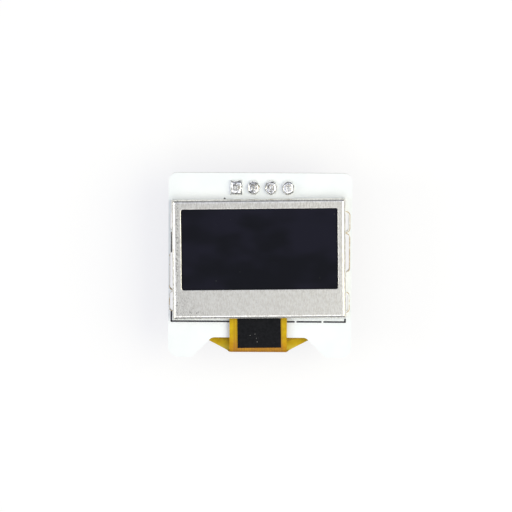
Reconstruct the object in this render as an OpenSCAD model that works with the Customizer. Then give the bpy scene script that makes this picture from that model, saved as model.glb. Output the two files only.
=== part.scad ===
// Small OLED display module: white board, folded metal bezel, glass panel, folded ribbon, pin header.
// The origin is the middle of the header housing's seating face. +Z points out of the display,
// +Y towards the header's edge of the board. Millimetres.

/* [Display panel] */
// Width of the front glass
glass_w = 24.6; // [24:0.02:28]
// Height of the front glass
glass_h = 16.9; // [16.5:0.1:19]
// Thickness of the front glass
glass_t = 0.7; // [0.5:0.1:0.9]
// Thickness of the rear glass
rear_glass_t = 0.5; // [0.4:0.1:0.7]
// Height of the front glass's ledge below the rear glass
ledge_h = 3.45; // [3.3:0.05:4]
// Distance that the rear glass stays inside the front glass at the sides and top
rear_glass_inset = 0.25; // [0.1:0.05:0.5]
// Thickness of the polarizer film
polarizer_t = 0.2; // [0.1:0.05:0.25]
// Distance that the polarizer reaches past each edge of the window
polarizer_overlap = 0.5; // [0.3:0.1:0.6]
// Thickness of the adhesive foam behind the panel
foam_t = 0.25; // [0.15:0.05:0.5]
// Distance that the foam stays inside the rear glass
foam_inset = 1; // [0.5:0.25:2]
// Turn of the panel and bezel on the board, in degrees, as assembled by hand
display_skew = 0.9; // [0:0.1:1.2]

/* [Driver chip] */
// Length of the bare driver chip
chip_l = 12; // [8:0.5:16]
// Breadth of the bare driver chip
chip_w = 1.1; // [0.8:0.1:1.2]
// Thickness of the bare driver chip
chip_t = 0.3; // [0.2:0.05:0.4]
// Gap between the rear glass and the chip
chip_gap = 0.4; // [0.2:0.1:0.5]

/* [Bezel] */
// Thickness of the bezel's sheet
sheet_t = 0.25; // [0.2:0.05:0.3]
// Gap between the glass and the bezel's side walls
glass_side_gap = 0.205; // [0.15:0.005:0.4]
// Gap between the glass and the bezel's top and bottom walls
glass_end_gap = 0.1; // [0.1:0.05:0.3]
// Gap between the polarizer and the sheet above it
sheet_gap = 0.1; // [0.05:0.05:0.3]
// Outer radius of the bends round the face
bend_r = 0.6; // [0.5:0.05:0.8]
// Width of the window
window_w = 22.9; // [22:0.1:23.1]
// Height of the window
window_h = 11.8; // [11.4:0.1:12]
// Corner radius of the window
window_r = 0.3; // [0.2:0.05:0.6]
// Sideways offset of the window from the bezel's middle
window_x = 0.09; // [0:0.01:0.2]
// Height of the window's middle above the bezel's middle
window_y = 1.48; // [1.2:0.02:1.6]
// Width of the open slit at each corner between two walls
corner_slit = 0.15; // [0.1:0.05:0.3]
// Clearance beside the ribbon in the bezel's cut-out
cutout_side_gap = 0.5; // [0.45:0.05:0.7]
// Distance of the cut-out's middle right of the ribbon's middle
cutout_x = 0.15; // [0:0.01:0.2]

/* [Bezel legs] */
// Width of the end legs
end_leg_w = 2; // [1.4:0.1:2.4]
// Width of the middle legs
middle_leg_w = 4.8; // [4:0.1:5.2]
// Height of the right middle leg above the bezel's middle
right_leg_y = 0.9; // [0.5:0.1:1.2]
// Height of the left middle leg below the bezel's middle
left_leg_y = 1.85; // [1:0.05:1.9]
// Inner radius of each leg's bend under the board
leg_bend_r = 0.15; // [0.1:0.05:0.3]
// Length of each leg's foot on the board's back
foot_l = 1.1; // [0.8:0.1:1.6]
// Clearance between a leg and each end of its slot
slot_end_gap = 0.4; // [0.4:0.05:0.5]
// Board left between two neighbouring slots
slot_web = 0.35; // [0.3:0.05:0.5]
// Clearance between a leg's bend and its slot's inner edge
slot_inner_gap = 0.2; // [0.2:0.05:0.3]
// Distance that the right slots open outside the bezel's wall
right_slot_gap = 0.38; // [0.26:0.02:0.5]
// Extra opening of the right middle slot, outward
middle_slot_extra = 0.15; // [0:0.05:0.25]
// Distance that the left slots open outside the bezel's wall
left_slot_gap = 0.36; // [0.26:0.02:0.4]

/* [Board] */
// Thickness of the circuit board
board_t = 1.2; // [0.8:0.1:1.6]
// Board left of the bezel's wall
left_margin = 0.59; // [0.59:0.01:1.5]
// Board right of the bezel's wall
right_margin = 0.9; // [0.8:0.05:2]
// Board between the bezel and the header's edge
header_margin = 3.8; // [3.7:0.1:6]
// Board between the bezel and the tips of the lower lobes
lobe_margin = 5.8; // [5.4:0.1:7]
// Corner radius at the header's edge
top_corner_r = 1.25; // [0.5:0.25:2]
// Outer corner radius of the lobes
lobe_corner_r = 1.5; // [0.5:0.25:2]
// Width of the ribbon notch at its inner edge
notch_w = 13.9; // [12:0.1:15]
// Depth of the ribbon notch
notch_depth = 2.9; // [2.2:0.1:3.4]
// Slope of the notch's sides, in degrees from the board's lower edge
notch_slope = 45; // [35:1:60]
// Radius where the notch's sides meet its inner edge
notch_r = 1; // [0.4:0.1:1.4]
// Radius where the notch's sides meet the lobes
lobe_inner_r = 0.9; // [0.4:0.1:1.4]
// Distance of the notch's middle right of the ribbon's middle
notch_x = 0.1; // [0:0.01:0.4]

/* [Ribbon] */
// Thickness of the ribbon
ribbon_t = 0.12; // [0.08:0.01:0.15]
// Width of the ribbon's narrow front part
ribbon_w = 8.45; // [7:0.05:9.4]
// Distance of the ribbon's middle left of the bezel's middle
ribbon_x = 0.07; // [0:0.01:0.1]
// Length of ribbon bonded under the front glass
bond_l = 1.3; // [0.8:0.1:1.4]
// Distance that the fold stands out from the notch's inner edge
fold_reach = 2.14; // [1.6:0.02:2.6]
// Outer radius of the ribbon's two bends
fold_r = 0.62; // [0.5:0.02:0.9]
// Width of the ribbon's tail on the board's back
tail_w = 19.5; // [18:0.1:20]
// Slope of the tail's shoulders, in degrees
shoulder_slope = 27.5; // [20:0.5:32]
// Length of the tail past the notch's inner edge
tail_l = 3.3; // [2.8:0.1:4]
// Number of solder joints along the tail
tail_joints = 30; // [24:1:31]
// Spacing of the solder joints along the tail
tail_pitch = 0.62; // [0.5:0.01:0.62]
// Width of one solder joint on the tail
tail_joint_w = 0.34; // [0.2:0.02:0.4]
// Length of each tail joint on the ribbon
tail_joint_on = 1.1; // [0.6:0.1:1.4]
// Length of each tail joint on the board beyond the ribbon
tail_joint_off = 0.5; // [0.3:0.1:0.8]
// Height of a solder joint above the ribbon's tail
tail_joint_h = 0.08; // [0.04:0.02:0.14]
// Length of the slope at each end of a tail joint
tail_joint_slope = 0.28; // [0.1:0.02:0.28]

/* [Shield patch] */
// Width of the black tape patch on the ribbon
patch_w = 6.4; // [5:0.1:7]
// Thickness of the tape patch
patch_t = 0.06; // [0.04:0.01:0.1]
// Distance of the patch's middle right of the ribbon's middle
patch_x = 0.15; // [0:0.01:0.3]
// Gap between the glass and the patch, and between the patch and the fold
patch_gap = 0.08; // [0.08:0.02:0.3]

/* [Pin header] */
// Number of pins
pin_count = 4; // [2:1:6]
// Spacing of the pins
pin_pitch = 2.54; // [2.5:0.01:2.54]
// Side of a square pin
pin_w = 0.64; // [0.5:0.02:0.66]
// Length of the pins below the housing
pin_l = 6; // [3:0.5:12]
// Length of the pins above the housing, through the board
pin_tail = 2.6; // [2.4:0.1:4]
// Length of the tapered tips of the pins
pin_tip = 0.45; // [0.2:0.05:0.8]
// Height of the moulded housing
housing_h = 2.54; // [1.5:0.02:5.08]
// Chamfer between the housing's segments
housing_chamfer = 0.5; // [0.2:0.05:0.7]
// Distance of the header's row from the board's edge
header_edge = 2.17; // [2:0.01:2.3]
// Distance of the header's middle right of the board's middle
header_x = 0.26; // [0:0.02:2]
// Diameter of the header's holes in the board
hole_d = 1; // [0.96:0.02:1.1]

/* [Header solder] */
// Width of a solder joint, along the row
joint_w = 1.8; // [1.6:0.05:2]
// Length of a solder joint, across the row
joint_l = 2.13; // [2:0.05:2.4]
// Height of a solder joint where it meets the pin
joint_h = 0.65; // [0.45:0.05:1]
// Thickness of a solder joint at its rim
joint_rim = 0.08; // [0.04:0.02:0.15]
// Half-width of a solder joint where it ends at the pin
joint_neck = 0.48; // [0.46:0.01:0.55]

/* [Small parts] */
// Length of a resistor or capacitor
chip_part_l = 1.6; // [1:0.1:1.6]
// Width of a resistor or capacitor
chip_part_w = 0.8; // [0.5:0.1:0.9]
// Height of a resistor
resistor_h = 0.45; // [0.3:0.05:0.6]
// Height of a capacitor
capacitor_h = 0.8; // [0.5:0.05:0.9]
// Length of the metal end caps
end_cap_l = 0.3; // [0.2:0.05:0.4]
// Distance that the end caps stand proud of the ceramic
end_cap_proud = 0.02; // [0.01:0.01:0.04]
// Length of the solder fillets at the small parts
fillet_l = 0.35; // [0.2:0.05:0.45]
// Height of the solder fillets at the small parts
fillet_h = 0.35; // [0.2:0.05:0.45]
// Spacing of the row of small parts above the ribbon's tail
row_pitch = 2.5; // [2:0.1:2.6]
// Height of that row above the notch's inner edge
row_y = 7.1; // [6.5:0.1:7.5]
// Height of the second row above the notch's inner edge
second_row_y = 11; // [10.5:0.1:12]
// Height of the third row above the notch's inner edge
third_row_y = 16.6; // [15.8:0.1:16.8]
// Spacing of the two resistors and the capacitor beside them in the third row
third_row_pitch = 2.2; // [1.6:0.1:2.4]
// Gap between the regulator or the diode and the part beside it
part_gap = 0.55; // [0.3:0.05:0.7]

/* [Regulator and diode] */
// Distance of the regulator's middle left of the board's middle line
regulator_x = 6.6; // [5.5:0.1:7]
// Distance of the diode's middle right of the board's middle line
diode_x = 6; // [5:0.1:7]
// Length of the regulator's moulded case
regulator_l = 2.9; // [2.6:0.1:3]
// Breadth of the regulator's moulded case
regulator_w = 1.3; // [1.2:0.1:1.6]
// Height of the regulator's moulded case
regulator_h = 1; // [0.8:0.1:1.1]
// Spacing of the regulator's two lower leads
regulator_pitch = 1.9; // [1.8:0.05:2]
// Length of the diode's moulded case
diode_l = 1.7; // [1.5:0.1:1.8]
// Breadth of the diode's moulded case
diode_w = 1.25; // [1.1:0.05:1.4]
// Height of the diode's moulded case
diode_h = 0.9; // [0.7:0.1:1]
// Reach of a lead outside its case
lead_reach = 0.55; // [0.45:0.05:0.7]
// Length of a lead outside its case before it bends down
lead_knee = 0.2; // [0.15:0.01:0.25]
// Width of a lead
lead_w = 0.42; // [0.3:0.02:0.5]
// Thickness of a lead
lead_t = 0.13; // [0.1:0.01:0.16]
// Gap between a moulded case and the board
case_gap = 0.08; // [0.05:0.01:0.15]
// Slope of the moulded cases' sides, in degrees
case_draft = 7; // [3:1:10]

/* [Hidden] */
$fn = 48;
over = 0.5;                 // how far a cutter runs past the face it cuts
arc_steps = 8;              // points on each rounded corner of an outline

// The display assembly, from its own middle and from the board's front face
bezel_w = glass_w + 2 * (glass_side_gap + sheet_t);
bezel_h = glass_h + 2 * (glass_end_gap + sheet_t);
rear_glass_w = glass_w - 2 * rear_glass_inset;
rear_glass_h = glass_h - ledge_h - rear_glass_inset;
rear_glass_y = (ledge_h - rear_glass_inset) / 2;
glass_z = foam_t + rear_glass_t;
polarizer_z = glass_z + glass_t;
sheet_z = polarizer_z + polarizer_t + sheet_gap;
bezel_z = sheet_z + sheet_t;
chip_y = -glass_h / 2 + ledge_h - chip_gap - chip_w / 2;
leg_step = (middle_leg_w + end_leg_w) / 2 + 2 * slot_end_gap + slot_web;
upper_leg_y = right_leg_y + leg_step;
lower_leg_y = left_leg_y + leg_step;

// The board, from the header's middle
board_w = bezel_w + left_margin + right_margin;
board_h = bezel_h + header_margin + lobe_margin;
board_left = -header_x - board_w / 2;
board_right = board_left + board_w;
board_top = header_edge;
board_bottom = board_top - board_h;
board_back = housing_h;
board_front = board_back + board_t;
display_x = board_left + left_margin + bezel_w / 2;
display_y = board_top - header_margin - bezel_h / 2;
notch_y = board_bottom + notch_depth;

// The ribbon, from the header's middle in plan and from the board's front face in height
ribbon_mid_x = display_x - ribbon_x;
notch_mid_x = ribbon_mid_x + notch_x;
ribbon_top_z = glass_z;
ribbon_low_z = -board_t - ribbon_t;
ribbon_split_z = (ribbon_top_z + ribbon_low_z) / 2;
fold_y = notch_y - fold_reach;
tail_y = notch_y + tail_l;
shoulder_y = fold_y + (tail_w - ribbon_w) / 2 * tan(shoulder_slope);
glass_low_y = display_y - glass_h / 2;
bond_y = glass_low_y + bond_l;
patch_top_y = glass_low_y - patch_gap;
patch_low_y = fold_y + fold_r + patch_gap;

// One row per leg: side, height of its middle from the bezel's middle, width, slot's outer gap
LEGS = [
    [1, upper_leg_y, end_leg_w, right_slot_gap],
    [1, right_leg_y, middle_leg_w, right_slot_gap + middle_slot_extra],
    [1, -lower_leg_y, end_leg_w, right_slot_gap],
    [-1, upper_leg_y, end_leg_w, left_slot_gap],
    [-1, -left_leg_y, middle_leg_w, left_slot_gap],
    [-1, -lower_leg_y, end_leg_w, left_slot_gap],
];

// Small parts on the back: distance from the board's middle line, height above the notch, turn
row = [for (i = [-3:3]) i * row_pitch];
second_row = [row[1], row[4], row[5] + row_pitch / 2];
beside_regulator = regulator_l / 2 + part_gap + chip_part_w / 2;
third_row_x = -regulator_x + beside_regulator;
RESISTORS = [
    [row[1], row_y, 90],
    [row[3], row_y, 90],
    [row[5], row_y, 90],
    [second_row[1], second_row_y, 0],
    [second_row[2], second_row_y, 0],
    [third_row_x + third_row_pitch, third_row_y, 90],
    [third_row_x + 2 * third_row_pitch, third_row_y, 90],
];
CAPACITORS = [
    [row[0], row_y, 90],
    [row[2], row_y, 90],
    [row[4], row_y, 90],
    [row[6], row_y, 90],
    [second_row[0], second_row_y, 0],
    [-regulator_x - beside_regulator, third_row_y, 90],
    [third_row_x, third_row_y, 90],
];
REGULATOR = [-regulator_x, third_row_y];
DIODE = [diode_x, third_row_y];

// ---- outlines ----

function unit(v) = v / norm(v);

// The points of one corner b, between a and c, rounded to radius r
function round_corner(a, b, c, r) =
    let (
        u = unit(a - b),
        v = unit(c - b),
        half = acos(u * v) / 2,
        middle = b + unit(u + v) * r / sin(half),
        first = b + u * r / tan(half) - middle,
        last = b + v * r / tan(half) - middle,
        from = atan2(first.y, first.x),
        turn = atan2(first.x * last.y - first.y * last.x, first * last)
    )
    [for (i = [0:arc_steps]) let (a = from + turn * i / arc_steps) middle + r * [cos(a), sin(a)]];

// An outline from corners [x, y, radius]
function rounded_outline(corners) =
    let (n = len(corners), p = [for (c = corners) [c.x, c.y]])
    [for (i = [0:n - 1]) each round_corner(p[(i + n - 1) % n], p[i], p[(i + 1) % n], corners[i][2])];

module rounded_rectangle(w, h, r) {
    square([w - 2 * r, h], center = true);
    square([w, h - 2 * r], center = true);
    for (x = [-1, 1], y = [-1, 1]) translate([x * (w / 2 - r), y * (h / 2 - r)]) circle(r);
}

// A slot with full round ends, upright
module upright_slot(w, l) {
    square([w, l - w], center = true);
    for (y = [-1, 1]) translate([0, y * (l - w) / 2]) circle(d = w);
}

// ---- placing ----

// From the display's own middle, on the board's front face, to the header's frame
module on_display() {
    translate([display_x, display_y, board_front]) rotate([0, 0, display_skew]) children();
}

// A part on the board's back, drawn with its mounting face at z = 0 and standing up
module on_back(spot) {
    translate([board_left + board_w / 2 + spot.x, notch_y + spot.y, board_back])
        rotate([180, 0, is_undef(spot[2]) ? 0 : spot[2]]) children();
}

module at_pin(i) {
    translate([(i - (pin_count + 1) / 2) * pin_pitch, 0, 0]) children();
}

// ---- display panel ----

module foam_pad() {
    color("dimgray") on_display() translate([0, rear_glass_y, foam_t / 2])
        cube([rear_glass_w - 2 * foam_inset, rear_glass_h - 2 * foam_inset, foam_t], center = true);
}

module encapsulation_glass() {
    color("lightsteelblue") on_display() translate([0, rear_glass_y, foam_t + rear_glass_t / 2])
        cube([rear_glass_w, rear_glass_h, rear_glass_t], center = true);
}

module substrate_glass() {
    color("lightblue") on_display() translate([0, 0, glass_z + glass_t / 2])
        cube([glass_w, glass_h, glass_t], center = true);
}

module polarizer_film() {
    film_w = window_w + 2 * polarizer_overlap;
    film_h = window_h + 2 * polarizer_overlap;
    color([0.12, 0.12, 0.14]) on_display() translate([window_x, window_y, polarizer_z + polarizer_t / 2])
        cube([film_w, film_h, polarizer_t], center = true);
}

module driver_chip() {
    color("darkslategray") on_display() translate([0, chip_y, glass_z - chip_t / 2])
        cube([chip_l, chip_w, chip_t], center = true);
}

// ---- bezel ----

// The section of a shallow cap: a block with its two upper edges rounded
module cap_section(w, h, r) {
    translate([-w / 2, 0]) square([w, h - r]);
    translate([-(w / 2 - r), 0]) square([w - 2 * r, h]);
    for (x = [-1, 1]) translate([x * (w / 2 - r), h - r]) circle(r);
}

// Two caps crossed, so that the four rounded edges meet in mitres
module cap_block(w, d, h, r) {
    intersection() {
        rotate([90, 0, 0]) linear_extrude(d, center = true) cap_section(w, h, r);
        rotate([90, 0, 90]) linear_extrude(w, center = true) cap_section(d, h, r);
    }
}

// A leg of the right-hand wall: down through the board, then folded flat under it
module right_leg(y, w) {
    wall_x = bezel_w / 2 - sheet_t;
    bend_x = wall_x - leg_bend_r;
    bend_z = -board_t + leg_bend_r;
    outer_r = leg_bend_r + sheet_t;
    translate([0, y + w / 2, 0]) rotate([90, 0, 0]) linear_extrude(w) {
        translate([wall_x, bend_z]) square([sheet_t, over - bend_z]);
        translate([bend_x - foot_l, -board_t - sheet_t]) square([foot_l, sheet_t]);
        intersection() {
            translate([bend_x, bend_z]) difference() {
                circle(outer_r);
                circle(leg_bend_r);
            }
            translate([bend_x, bend_z - outer_r]) square(outer_r);
        }
    }
}

module metal_bezel() {
    cutout_w = ribbon_w + 2 * cutout_side_gap;
    slit_h = bezel_z - bend_r;
    slit_x = bezel_w / 2 - sheet_t - corner_slit / 2;
    color("silver") on_display() {
        difference() {
            cap_block(bezel_w, bezel_h, bezel_z, bend_r);
            translate([0, 0, -over])
                cap_block(bezel_w - 2 * sheet_t, bezel_h - 2 * sheet_t, sheet_z + over, bend_r - sheet_t);
            translate([window_x, window_y, sheet_z - over]) linear_extrude(bezel_z - sheet_z + 2 * over)
                rounded_rectangle(window_w, window_h, window_r);
            translate([cutout_x - ribbon_x - cutout_w / 2, -bezel_h / 2 - over, -over])
                cube([cutout_w, sheet_t + 2 * over, sheet_z + over]);
            for (x = [-1, 1], y = [-1, 1]) translate([x * slit_x, y * bezel_h / 2, 0])
                cube([corner_slit, 2 * (sheet_t + corner_slit), 2 * slit_h], center = true);
        }
        for (leg = LEGS) mirror([leg[0] < 0 ? 1 : 0, 0, 0]) right_leg(leg[1], leg[2]);
    }
}

// ---- board ----

module circuit_board() {
    notch_run = notch_depth / tan(notch_slope);
    outline = rounded_outline([
        [board_left, board_top, top_corner_r],
        [board_left, board_bottom, lobe_corner_r],
        [notch_mid_x - notch_w / 2 - notch_run, board_bottom, lobe_inner_r],
        [notch_mid_x - notch_w / 2, notch_y, notch_r],
        [notch_mid_x + notch_w / 2, notch_y, notch_r],
        [notch_mid_x + notch_w / 2 + notch_run, board_bottom, lobe_inner_r],
        [board_right, board_bottom, lobe_corner_r],
        [board_right, board_top, top_corner_r],
    ]);
    color("white") translate([0, 0, board_back]) difference() {
        linear_extrude(board_t) polygon(outline);
        translate([0, 0, -over]) linear_extrude(board_t + 2 * over) {
            for (i = [1:pin_count]) at_pin(i) circle(d = hole_d);
            for (leg = LEGS) translate([display_x, display_y]) leg_slot(leg);
        }
    }
}

// The slot that a leg goes through, with room for its bend on the inside
module leg_slot(leg) {
    inner = bezel_w / 2 - sheet_t - leg_bend_r - slot_inner_gap;
    outer = bezel_w / 2 + leg[3];
    translate([leg[0] * (inner + outer) / 2, leg[1]])
        upright_slot(outer - inner, leg[2] + 2 * slot_end_gap);
}

// ---- ribbon ----

// The block that a side of the fold wraps, seen from the side: y across, z up
module fold_block(inset) {
    r = fold_r - inset;
    low = ribbon_low_z + inset;
    high = ribbon_top_z - inset;
    translate([fold_y + inset + r, low]) square([max(tail_y, bond_y) - fold_y, high - low]);
    translate([fold_y + inset, low + r]) square([r + over, high - low - 2 * r]);
    for (z = [low + r, high - r]) translate([fold_y + inset + r, z]) circle(r);
}

// One run of the folded sheet: its section between two heights and up to one end, drawn w wide
module folded_run(w, low, high, end_y) {
    translate([ribbon_mid_x - w / 2, 0, board_front]) rotate([90, 0, 90]) linear_extrude(w) intersection() {
        difference() {
            fold_block(0);
            fold_block(ribbon_t);
        }
        translate([fold_y - over, low]) square([end_y - fold_y + over, high - low]);
    }
}

module flex_ribbon() {
    color("goldenrod") {
        folded_run(ribbon_w, ribbon_split_z, ribbon_top_z, bond_y);
        intersection() {
            folded_run(tail_w, ribbon_low_z, ribbon_split_z, tail_y);
            translate([ribbon_mid_x, 0, 0]) linear_extrude(board_front) polygon([
                [-ribbon_w / 2, fold_y],
                [ribbon_w / 2, fold_y],
                [tail_w / 2, shoulder_y],
                [tail_w / 2, tail_y],
                [-tail_w / 2, tail_y],
                [-tail_w / 2, shoulder_y],
            ]);
        }
    }
}

module ribbon_shield_patch() {
    patch_l = patch_top_y - patch_low_y;
    color("black")
        translate([ribbon_mid_x + patch_x, patch_low_y + patch_l / 2, board_front + ribbon_top_z])
            rotate([0, 0, display_skew])
                translate([0, 0, patch_t / 2]) cube([patch_w, patch_l, patch_t], center = true);
}

// Solder over the end of each copper finger, from the ribbon's outer side down to the board
module ribbon_solder_joints() {
    low = ribbon_t + tail_joint_h;
    first_x = ribbon_mid_x - (tail_joints - 1) / 2 * tail_pitch;
    color("silver") for (i = [0:tail_joints - 1])
        translate([first_x + i * tail_pitch - tail_joint_w / 2, tail_y, board_back])
            rotate([90, 0, 90]) linear_extrude(tail_joint_w) polygon([
                [0, 0],
                [tail_joint_off, 0],
                [tail_joint_off - tail_joint_slope, -low],
                [-tail_joint_on + tail_joint_slope, -low],
                [-tail_joint_on, -ribbon_t],
                [0, -ribbon_t],
            ]);
}

// ---- pin header ----

module chamfered_square(w, chamfer) {
    intersection() {
        square(w, center = true);
        rotate(45) square(sqrt(2) * (w - chamfer), center = true);
    }
}

module header_housing() {
    color([0.1, 0.1, 0.1]) difference() {
        for (i = [1:pin_count]) at_pin(i)
            linear_extrude(housing_h) chamfered_square(pin_pitch, housing_chamfer);
        for (i = [1:pin_count]) at_pin(i) cube([pin_w, pin_w, 3 * housing_h], center = true);
    }
}

// The side view of a pin: straight, with both ends tapered
module pin_section() {
    low = -pin_l;
    high = housing_h + pin_tail;
    polygon([
        [-pin_w / 4, low],
        [pin_w / 4, low],
        [pin_w / 2, low + pin_tip],
        [pin_w / 2, high - pin_tip],
        [pin_w / 4, high],
        [-pin_w / 4, high],
        [-pin_w / 2, high - pin_tip],
        [-pin_w / 2, low + pin_tip],
    ]);
}

module header_pin(i) {
    color("gold") at_pin(i) intersection() {
        rotate([90, 0, 0]) linear_extrude(pin_w, center = true) pin_section();
        rotate([90, 0, 90]) linear_extrude(pin_w, center = true) pin_section();
    }
}

// Half of a joint's domed section, from half its width in to where it meets the pin
function joint_side(half) = [
    [half, 0],
    for (i = [0:arc_steps]) let (a = 90 * i / arc_steps)
        [joint_neck + (half - joint_neck) * cos(a), joint_rim + (joint_h - joint_rim) * sin(a)],
];

module joint_section(half) {
    side = joint_side(half);
    polygon(concat(side, [for (i = [len(side) - 1:-1:0]) [-side[i].x, side[i].y]]));
}

module round_joint() {
    straight = joint_l - joint_w;
    for (y = [-1, 1]) translate([0, y * straight / 2, 0]) rotate_extrude()
        polygon(concat([[0, 0]], joint_side(joint_w / 2), [[0, joint_h]]));
    rotate([90, 0, 0]) linear_extrude(straight, center = true) joint_section(joint_w / 2);
}

module square_joint() {
    intersection() {
        rotate([90, 0, 0]) linear_extrude(joint_l, center = true) joint_section(joint_w / 2);
        rotate([90, 0, 90]) linear_extrude(joint_w, center = true) joint_section(joint_l / 2);
    }
}

// Solder on the front, round the pin, and down the plated hole to the housing
module solder_joint(i) {
    color("silver") at_pin(i) difference() {
        union() {
            translate([0, 0, board_front]) if (i == 1) square_joint(); else round_joint();
            translate([0, 0, board_back]) cylinder(d = hole_d, h = board_t);
        }
        cube([pin_w, pin_w, 4 * (board_front + joint_h)], center = true);
    }
}

// ---- small parts on the back ----

// A two-ended chip part: ceramic body and metal end caps
module chip_part(h) {
    cap_w = chip_part_w + 2 * end_cap_proud;
    for (x = [-1, 1]) translate([x * (chip_part_l - end_cap_l) / 2, 0, (h + end_cap_proud) / 2])
        cube([end_cap_l, cap_w, h + end_cap_proud], center = true);
    translate([0, 0, h / 2]) cube([chip_part_l - end_cap_l, chip_part_w, h], center = true);
}

module resistor(i) {
    color([0.15, 0.15, 0.17]) on_back(RESISTORS[i - 1]) chip_part(resistor_h);
}

module capacitor(i) {
    color("tan") on_back(CAPACITORS[i - 1]) chip_part(capacitor_h);
}

// A moulded case whose four sides lean in, above and below its parting line
module moulded_case(l, w, h) {
    intersection() {
        rotate([90, 0, 0]) linear_extrude(w, center = true) case_section(l, h);
        rotate([90, 0, 90]) linear_extrude(l, center = true) case_section(w, h);
    }
}

module case_section(w, h) {
    lean = (h - case_gap) / 2 * tan(case_draft);
    middle = (h + case_gap) / 2;
    polygon([
        [-w / 2 + lean, case_gap],
        [w / 2 - lean, case_gap],
        [w / 2, middle],
        [w / 2 - lean, h],
        [-w / 2 + lean, h],
        [-w / 2, middle],
    ]);
}

// A gull-wing lead that leaves a case's side at its parting line and lands on the board
module gull_lead(h) {
    middle = (h + case_gap) / 2;
    rotate([90, 0, 0]) linear_extrude(lead_w, center = true) polygon([
        [0, middle + lead_t / 2],
        [lead_knee, middle + lead_t / 2],
        [lead_knee + lead_t, lead_t],
        [lead_reach, lead_t],
        [lead_reach, 0],
        [lead_knee, 0],
        [lead_knee - lead_t / 2, middle - lead_t / 2],
        [0, middle - lead_t / 2],
    ]);
}

// Where each lead of the regulator leaves its case: place and turn
REGULATOR_LEADS = [
    [-regulator_pitch / 2, -regulator_w / 2, -90],
    [regulator_pitch / 2, -regulator_w / 2, -90],
    [0, regulator_w / 2, 90],
];

module regulator_case() {
    color([0.12, 0.12, 0.13]) on_back(REGULATOR) moulded_case(regulator_l, regulator_w, regulator_h);
}

module regulator_leads() {
    color("silver") on_back(REGULATOR) for (lead = REGULATOR_LEADS)
        translate([lead.x, lead.y, 0]) rotate([0, 0, lead[2]]) gull_lead(regulator_h);
}

module diode_case() {
    color([0.12, 0.12, 0.13]) on_back(DIODE) moulded_case(diode_l, diode_w, diode_h);
}

module diode_leads() {
    color("silver") on_back(DIODE) for (turn = [0, 180])
        rotate([0, 0, turn]) translate([diode_l / 2, 0, 0]) gull_lead(diode_h);
}

// A hollow wedge of solder against a metal end that faces +X
module fillet(w, h) {
    steps = arc_steps / 2;
    rotate([90, 0, 0]) linear_extrude(w, center = true) polygon([
        [0, 0],
        for (i = [0:steps]) let (a = 90 * i / steps) [fillet_l - fillet_l * sin(a), h - h * cos(a)],
    ]);
}

module component_solder() {
    color("silver") {
        for (part = concat(RESISTORS, CAPACITORS)) on_back(part) for (turn = [0, 180])
            rotate([0, 0, turn]) translate([chip_part_l / 2, 0, 0]) fillet(chip_part_w, fillet_h);
        on_back(REGULATOR) for (lead = REGULATOR_LEADS) translate([lead.x, lead.y, 0])
            rotate([0, 0, lead[2]]) translate([lead_reach, 0, 0]) fillet(lead_w, lead_t);
        on_back(DIODE) for (turn = [0, 180])
            rotate([0, 0, turn]) translate([diode_l / 2 + lead_reach, 0, 0]) fillet(lead_w, lead_t);
    }
}

// ---- the nodes ----

circuit_board();
metal_bezel();
foam_pad();
encapsulation_glass();
substrate_glass();
polarizer_film();
driver_chip();
flex_ribbon();
ribbon_shield_patch();
ribbon_solder_joints();
header_housing();
regulator_case();
regulator_leads();
diode_case();
diode_leads();
component_solder();
for (i = [1:pin_count]) header_pin(i);
for (i = [1:pin_count]) solder_joint(i);
for (i = [1:len(RESISTORS)]) resistor(i);
for (i = [1:len(CAPACITORS)]) capacitor(i);
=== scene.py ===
# %% [markdown]
# # A small display module, dressed for its portrait
# The solid model already has every rigid piece at its true size: a white circuit board, a folded steel
# bezel round a glass panel, an amber ribbon and a pin header. This lesson gives each surface its finish,
# adds what is thinner than the solids can carry, such as ink and copper, and sets up a small light tent.
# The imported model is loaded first, as a fixed frame: its pieces are never moved.

# %% Load the frame
from math import atan2, cos, radians, sin

import bpy
from mathutils import Matrix, Vector


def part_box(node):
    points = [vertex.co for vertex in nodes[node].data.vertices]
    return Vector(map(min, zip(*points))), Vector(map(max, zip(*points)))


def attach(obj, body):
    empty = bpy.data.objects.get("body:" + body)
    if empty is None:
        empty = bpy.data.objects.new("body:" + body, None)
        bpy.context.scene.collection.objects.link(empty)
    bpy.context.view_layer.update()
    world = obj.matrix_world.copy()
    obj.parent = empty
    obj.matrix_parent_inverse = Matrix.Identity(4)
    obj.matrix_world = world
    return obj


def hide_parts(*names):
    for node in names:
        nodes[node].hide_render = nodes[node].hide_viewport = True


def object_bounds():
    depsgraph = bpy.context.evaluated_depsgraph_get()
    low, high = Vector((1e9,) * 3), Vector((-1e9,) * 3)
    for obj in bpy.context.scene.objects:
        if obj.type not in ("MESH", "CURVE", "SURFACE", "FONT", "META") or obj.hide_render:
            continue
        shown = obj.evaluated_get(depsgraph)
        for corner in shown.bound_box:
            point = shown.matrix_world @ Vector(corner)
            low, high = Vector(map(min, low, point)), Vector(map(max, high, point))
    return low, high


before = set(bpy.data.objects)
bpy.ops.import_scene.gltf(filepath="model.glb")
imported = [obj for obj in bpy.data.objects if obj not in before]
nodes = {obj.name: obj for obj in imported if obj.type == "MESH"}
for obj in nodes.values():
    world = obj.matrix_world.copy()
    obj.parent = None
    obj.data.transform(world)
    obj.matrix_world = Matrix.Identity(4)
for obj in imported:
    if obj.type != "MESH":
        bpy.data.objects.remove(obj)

cad_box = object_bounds()
scene = bpy.context.scene
print("nodes:", len(nodes), "box:", [round(1000 * (b - a), 2) for a, b in zip(*cad_box)], "mm")

# %% [markdown]
# Every place below is worked out from the solids' own boxes, so that ink and copper stay where they belong
# if a size changes. The board's back and front give the two levels that most pieces lie on.

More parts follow.
